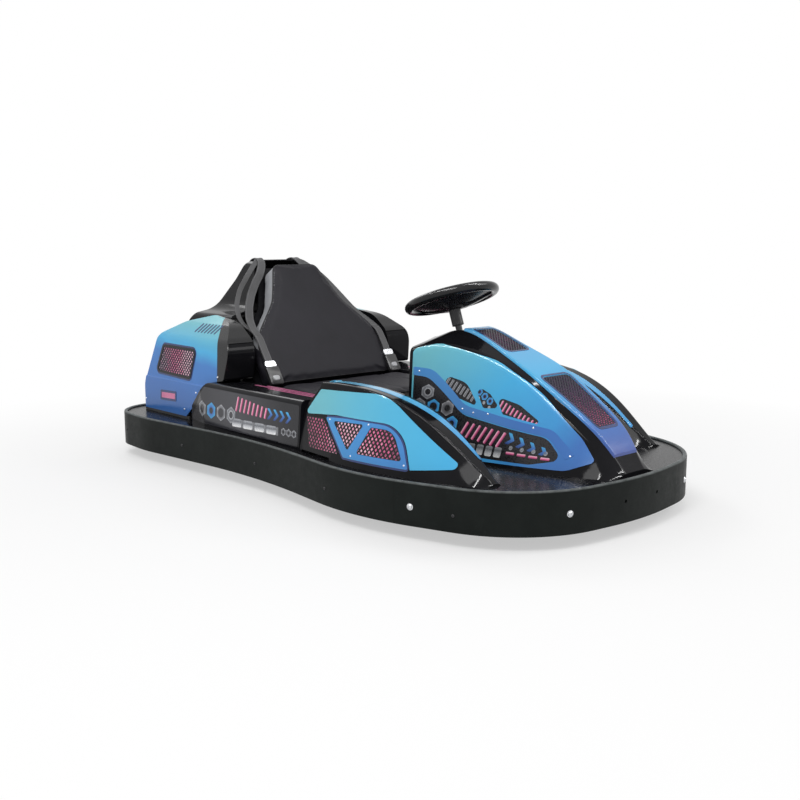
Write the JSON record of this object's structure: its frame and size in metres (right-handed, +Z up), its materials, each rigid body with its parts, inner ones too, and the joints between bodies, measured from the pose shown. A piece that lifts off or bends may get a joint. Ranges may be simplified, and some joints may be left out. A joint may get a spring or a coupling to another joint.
{
  "type": "electric go-kart",
  "caption": "Low electric rental go-kart with an all-round bumper band, moulded cowls, bucket seat and steered front wheels.",
  "frame": {"origin": "on the floor, under the centre of the bumper band", "axes": "+X forward, +Y to the kart's left, +Z up"},
  "size_m": [1.9399, 1.0732, 0.6992],
  "materials": {
    "band": "satin scuffed moulding",
    "frame_steel": "black powder coat",
    "tray": "rolled sheet",
    "black_gloss": "gloss",
    "blue_gloss": "gloss",
    "mesh_pink": "satin",
    "seat_fabric": "matte",
    "webbing": "matte",
    "bright_steel": "brushed",
    "rim_alloy": "cast",
    "tyre": "matte",
    "grip": "gloss",
    "case_dark": "matte"
  },
  "bodies": {
    "chassis": {"band_front": "band", "band_right": "band", "band_left": "band", "band_rear": "band", "side_rails": "frame_steel", "cross_members": "frame_steel", "band_struts": "frame_steel", "kingpin_yokes": "frame_steel", "column_support": "frame_steel", "floor_tray": "tray", "deck_front": "black_gloss", "deck_rear": "black_gloss", "hood": "black_gloss", "hood_spine": "blue_gloss", "spine_grilles": "mesh_pink", "pod_right": "blue_gloss", "pod_left": "blue_gloss", "sill_right": "black_gloss", "sill_left": "black_gloss", "cowl_right": "blue_gloss", "cowl_left": "blue_gloss", "arm_liner_right": "black_gloss", "arm_liner_left": "black_gloss", "back_fairing": "black_gloss", "seat_pan": "black_gloss", "seat_back_pad": "seat_fabric", "seat_base_pad": "seat_fabric", "belt_webbing": "webbing", "belt_buckles": "bright_steel", "battery_block": "case_dark", "motor_block": "case_dark", "axle_bearings": "frame_steel", "brake_caliper": "case_dark", "pedal_bracket": "frame_steel", "pedals": "bright_steel", "body_brackets": "frame_steel"},
    "steering": {"steering_wheel": "grip", "steering_column": "frame_steel"},
    "tie_rod_left": {"tie_rod_left": "bright_steel"},
    "tie_rod_right": {"tie_rod_right": "bright_steel"},
    "knuckle_left": {"knuckle_left": "bright_steel"},
    "knuckle_right": {"knuckle_right": "bright_steel"},
    "front_wheel_left": {"front_rim_left": "rim_alloy", "front_tyre_left": "tyre"},
    "front_wheel_right": {"front_rim_right": "rim_alloy", "front_tyre_right": "tyre"},
    "rear_axle": {"rear_axle": "bright_steel", "rear_rims": "rim_alloy", "rear_tyres": "tyre", "brake_disc": "bright_steel"}
  },
  "joints": [
    {"name": "steering_turn", "type": "hinge", "parent": "chassis", "child": "steering", "pos_m": [0.266, 0, 0.586], "axis": [-0.3322, 0, 0.9432], "range_deg": [-36, 36]},
    {"name": "tie_rod_left_pivot", "type": "hinge", "parent": "steering", "child": "tie_rod_left", "pos_m": [0.49517, 0, 0.1237], "axis": [-0.3322, 0, 0.9432], "range_deg": [-36, 36]},
    {"name": "kingpin_left", "type": "hinge", "parent": "chassis", "child": "knuckle_left", "pos_m": [0.4, 0.312, 0.11], "axis": [0, 0, 1], "range_deg": [-21.6, 21.6]},
    {"name": "front_wheel_left_spin", "type": "hinge", "parent": "knuckle_left", "child": "front_wheel_left", "pos_m": [0.4, 0.385, 0.11], "axis": [0, 1, 0], "continuous": true},
    {"name": "tie_rod_right_pivot", "type": "hinge", "parent": "steering", "child": "tie_rod_right", "pos_m": [0.49517, 0, 0.1237], "axis": [-0.3322, 0, 0.9432], "range_deg": [-36, 36]},
    {"name": "kingpin_right", "type": "hinge", "parent": "chassis", "child": "knuckle_right", "pos_m": [0.4, -0.312, 0.11], "axis": [0, 0, 1], "range_deg": [-21.6, 21.6]},
    {"name": "front_wheel_right_spin", "type": "hinge", "parent": "knuckle_right", "child": "front_wheel_right", "pos_m": [0.4, -0.385, 0.11], "axis": [0, 1, 0], "continuous": true},
    {"name": "rear_axle_spin", "type": "hinge", "parent": "chassis", "child": "rear_axle", "pos_m": [-0.69, 0, 0.12], "axis": [0, 1, 0], "continuous": true}
  ],
  "couplings": [
    {"joint": "tie_rod_left_pivot", "follows": "steering_turn", "ratio": -1},
    {"joint": "kingpin_left", "follows": "steering_turn", "ratio": 0.6},
    {"joint": "tie_rod_right_pivot", "follows": "steering_turn", "ratio": -1},
    {"joint": "kingpin_right", "follows": "steering_turn", "ratio": 0.6}
  ]
}
